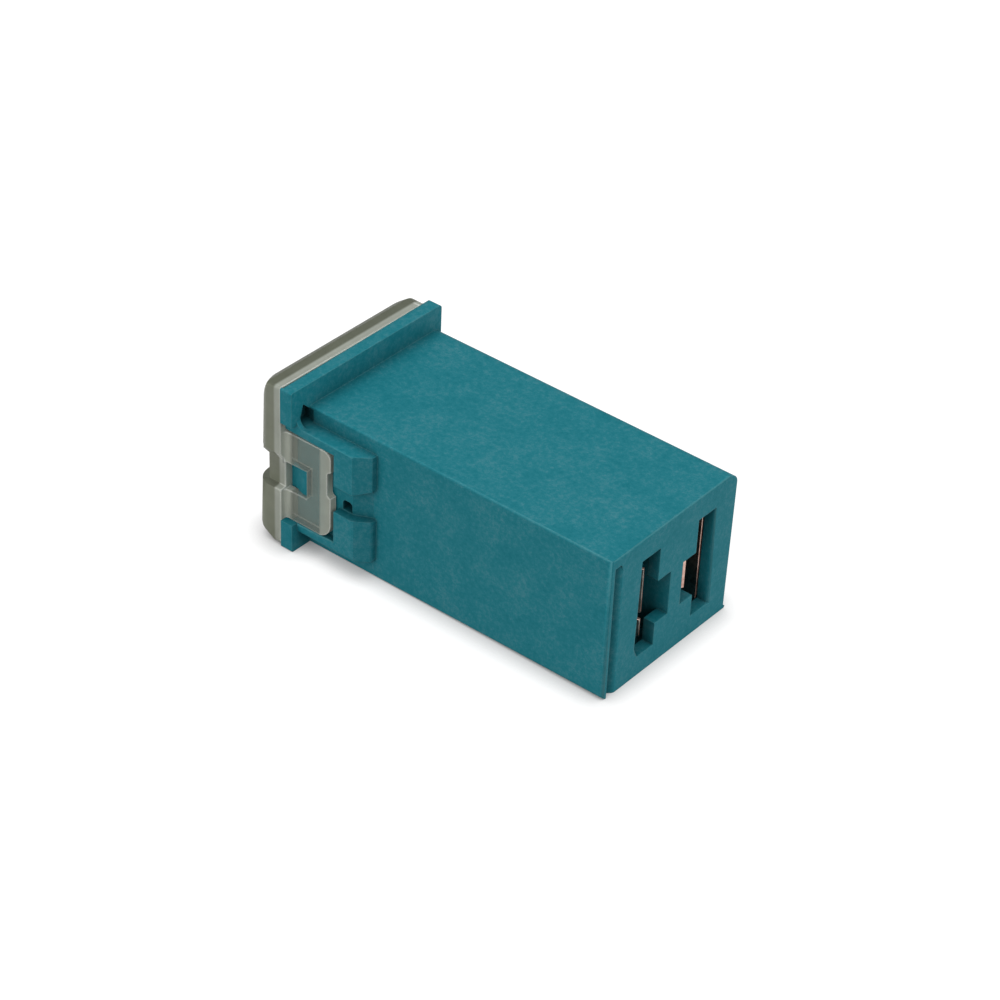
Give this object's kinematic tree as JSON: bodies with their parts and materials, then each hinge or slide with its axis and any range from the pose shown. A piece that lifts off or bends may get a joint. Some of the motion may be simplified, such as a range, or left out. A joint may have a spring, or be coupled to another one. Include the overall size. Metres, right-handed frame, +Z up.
{
  "type": "female fuse link",
  "caption": "Slow-blow cartridge fuse link with spring sockets for blades, a clear cover clipped over its end and a raised latch block, lying on its side.",
  "frame": {"origin": "under the middle of the whole fuse, on the flat side it lies on", "axes": "+X along the fuse, out of the sockets; +Y across the two sockets, away from the raised latch block; +Z up, through the body's thickness"},
  "size_m": [0.0308, 0.0162, 0.0139],
  "materials": {
    "housing": "moulded teal plastic, satin, with a fine mottle",
    "cover": "clear moulded plastic, slightly smoky",
    "element": "copper alloy sheet, tinned, with bare cut edges",
    "pill": "dull tin"
  },
  "bodies": {
    "root": {"housing": "housing", "cover": "cover", "fuse_element": "element", "tin_pill": "pill"}
  },
  "joints": []
}
